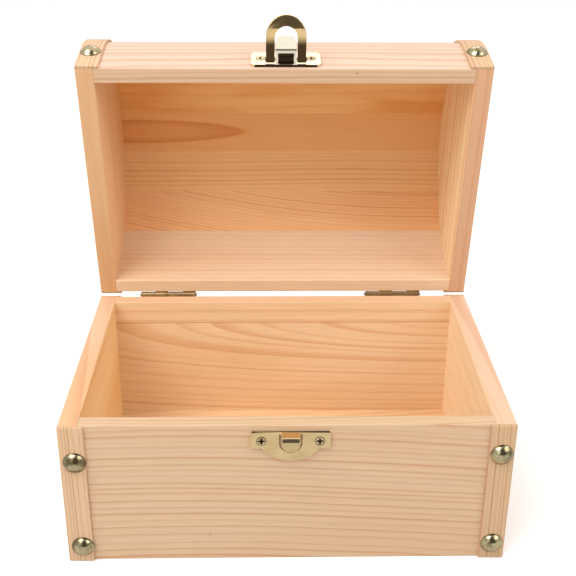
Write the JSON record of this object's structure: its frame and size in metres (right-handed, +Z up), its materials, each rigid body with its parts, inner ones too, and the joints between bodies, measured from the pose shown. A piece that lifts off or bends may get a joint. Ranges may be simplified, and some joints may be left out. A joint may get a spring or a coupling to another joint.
{
  "type": "treasure chest box",
  "caption": "Hinged wooden chest box with a domed staved lid held open, corner strips with domed nails, two butt hinges and a hasp with a swinging ring.",
  "frame": {"origin": "centre of the box's underside, on the surface it stands on", "axes": "+Z up, +Y from the hasp's face to the hinged back, +X to the right of someone who faces the hasp"},
  "size_m": [0.2, 0.2088, 0.2277],
  "materials": {
    "panel_pine": "unfinished, sanded",
    "lid_pine": "unfinished, sanded",
    "strip_pine": "unfinished, sanded",
    "bottom_plywood": "unfinished, sanded",
    "plate_brass": "bright plated",
    "ring_brass": "bright plated",
    "nail_brass": "bright plated",
    "hinge_brass": "bright plated"
  },
  "bodies": {
    "box": {"box_front_panel": "panel_pine", "box_back_panel": "panel_pine", "box_bottom_panel": "bottom_plywood", "box_left_end_panel": "panel_pine", "box_right_end_panel": "panel_pine", "box_front_left_strip": "strip_pine", "box_front_right_strip": "strip_pine", "box_back_left_strip": "strip_pine", "box_back_right_strip": "strip_pine", "box_nails": "nail_brass", "left_hinge_box_leaf": "hinge_brass", "left_hinge_pin": "hinge_brass", "right_hinge_box_leaf": "hinge_brass", "right_hinge_pin": "hinge_brass", "hinge_box_brads": "hinge_brass", "strike_plate": "plate_brass", "strike_screws": "plate_brass"},
    "lid": {"lid_left_end_board": "panel_pine", "lid_right_end_board": "panel_pine", "lid_left_strip": "strip_pine", "lid_right_strip": "strip_pine", "lid_front_rail": "lid_pine", "lid_back_rail": "lid_pine", "lid_stave_1": "lid_pine", "lid_stave_2": "lid_pine", "lid_stave_3": "lid_pine", "lid_stave_4": "lid_pine", "lid_stave_5": "lid_pine", "lid_nails": "nail_brass", "left_hinge_lid_leaf": "hinge_brass", "right_hinge_lid_leaf": "hinge_brass", "hinge_lid_brads": "hinge_brass", "latch_plate": "plate_brass", "latch_screws": "plate_brass", "hasp_pin": "ring_brass"},
    "thumb_lever": {"latch_lever": "plate_brass"},
    "ring": {"latch_ring": "ring_brass"}
  },
  "joints": [
    {"name": "lid_hinge", "type": "hinge", "parent": "box", "child": "lid", "pos_m": [0, 0.0672, 0.0722], "axis": [-1, 0, 0], "range_deg": [-79, 86]},
    {"name": "thumb_lever_pivot", "type": "hinge", "parent": "lid", "child": "thumb_lever", "pos_m": [0.0004, 0.04531, 0.20629], "axis": [-1, 0, 0], "range_deg": [0, 12]},
    {"name": "ring_pivot", "type": "hinge", "parent": "lid", "child": "ring", "pos_m": [0.0004, 0.04531, 0.20629], "axis": [1, 0, 0], "range_deg": [-70, 90]}
  ]
}
